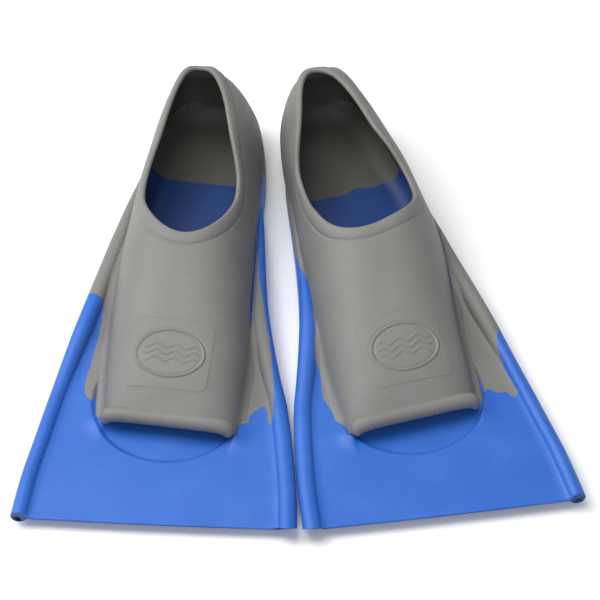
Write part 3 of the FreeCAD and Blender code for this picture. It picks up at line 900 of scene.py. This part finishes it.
def rubber():
    """Both compounds in one finish. The parting between them is where the tone attribute crosses zero,
    made ragged by noise. Fine pebble grain and faint flow marks come from bump; the grey is duller.
    Inside the pocket both are mixed towards darker copies of themselves: painted shade."""
    shade = Shade("two_tone_rubber")
    ragged = shade.noise(7.0) * 3.2 + shade.noise(1.6) * 1.0
    tone = shade.attribute("tone") + ragged
    grey = shade.step(tone, -0.35, 0.35)
    cloud = shade.noise(38.0, 4.0)
    speck = shade.noise(0.9, 2.0)
    worn = shade.step(cloud + speck * 0.5, -0.12, 0.3)
    blue = shade.mix(worn, BLUE, BLUE_WORN)
    dusty = shade.mix(shade.step(cloud * 0.8 + speck, -0.25, 0.35), GREY, GREY_DUSTY)
    # Painted shade: the inside of the pocket and the footbed under the instep are darkened in colour.
    painted_shade_inside = shade.attribute("painted_shade_inside") * 0.75
    colour = shade.mix(painted_shade_inside, shade.mix(grey, blue, dusty), shade.mix(grey, SHADED_BLUE, SHADED_GREY))
    shade.feed("Base Color", colour)
    shade.feed("Roughness", 0.44 + grey * 0.14 + speck * 0.10 + cloud * 0.08)
    grain = shade.noise(0.55, 2.0) * 0.6 + shade.noise(2.6, 2.0) * 0.5 + shade.noise(16.0, 2.0)
    bump = shade.node("ShaderNodeBump", {}, {"Strength": 0.35, "Distance": 0.00016, "Height": grain})
    shade.feed("Normal", bump)
    shade.surface.inputs["IOR"].default_value = 1.48
    shade.surface.inputs["Specular IOR Level"].default_value = 0.42
    return shade.material


def floor_finish():
    """Plain white paper, very slightly mottled."""
    shade = Shade("paper_floor")
    shade.feed("Base Color", shade.mix(shade.noise(60.0) + 0.5, PAPER, PAPER_PALE))
    shade.surface.inputs["Roughness"].default_value = 0.9
    return shade.material


# --- floor, light and camera ----------------------------------------------------------------------
def paper_floor():
    """A flat square of floor under the pair."""
    corners = [(FLOOR_REACH * x, FLOOR_REACH * y, 0) for x, y in ((-1, -1), (1, -1), (1, 1), (-1, 1))]
    mesh = bpy.data.meshes.new("floor")
    mesh.from_pydata(corners, [], [(0, 1, 2, 3)])
    mesh.materials.append(floor_finish())
    floor = bpy.data.objects.new("floor", mesh)
    bpy.context.scene.collection.objects.link(floor)


def aim(thing, place, target):
    """Put a light or camera somewhere, looking at a target."""
    thing.location = place
    direction = np.array(target) - np.array(place)
    level = math.hypot(direction[0], direction[1])
    thing.rotation_euler = (math.atan2(level, -direction[2]), 0.0, math.atan2(-direction[0], direction[1]))


def soft_light(name, place, size, power):
    """A square soft box looking at the pair."""
    light = bpy.data.lights.new(name, "AREA")
    light.shape, light.size, light.energy = "SQUARE", size, power
    lamp = bpy.data.objects.new(name, light)
    bpy.context.scene.collection.objects.link(lamp)
    aim(lamp, place, (0.0, 0.0, 0.04))


def studio():
    """A key light at the left, one overhead, a weak fill from the front, and a white world."""
    soft_light("key_light", (-1.3, 0.35, 1.3), 1.3, 23.0)
    soft_light("top_light", (-0.5, 0.2, 1.9), 1.4, 24.0)
    soft_light("front_fill", (0.0, -1.5, 1.0), 1.2, 8.0)
    world = bpy.data.worlds.new("studio")
    bpy.context.scene.world = world
    world.use_nodes = True
    world.node_tree.nodes["Background"].inputs["Color"].default_value = (1.0, 1.0, 1.0, 1.0)
    world.node_tree.nodes["Background"].inputs["Strength"].default_value = 0.36


# Metres and degrees: what the camera looks at, how steeply, from how far, and its lens in millimetres.
TARGET = np.array((0.001065, 0.017969, 0.0))
ELEVATION = math.radians(48.0)
DISTANCE = 1.7
FOCAL_LENGTH = 132.2


def camera():
    """The camera looks down along +Y at the middle of the pair."""
    lens = bpy.data.cameras.new("camera")
    lens.sensor_width, lens.lens = 36.0, FOCAL_LENGTH
    lens.clip_start, lens.clip_end = 0.05, 20.0
    view = bpy.data.objects.new("camera", lens)
    bpy.context.scene.collection.objects.link(view)
    back = np.array((0.0, -math.cos(ELEVATION), math.sin(ELEVATION)))
    aim(view, TARGET + DISTANCE * back, TARGET)
    bpy.context.scene.camera = view


def build():
    """Camera, light, floor, and the four pieces of each fin."""
    bpy.context.scene.view_settings.view_transform = "Standard"
    camera()
    studio()
    paper_floor()
    finish = rubber()
    for fin in FINS:
        blue_moulding(fin, finish)
        foot_pocket(fin, finish)
        toe_bead(fin, finish)
        badge(fin, finish)


build()
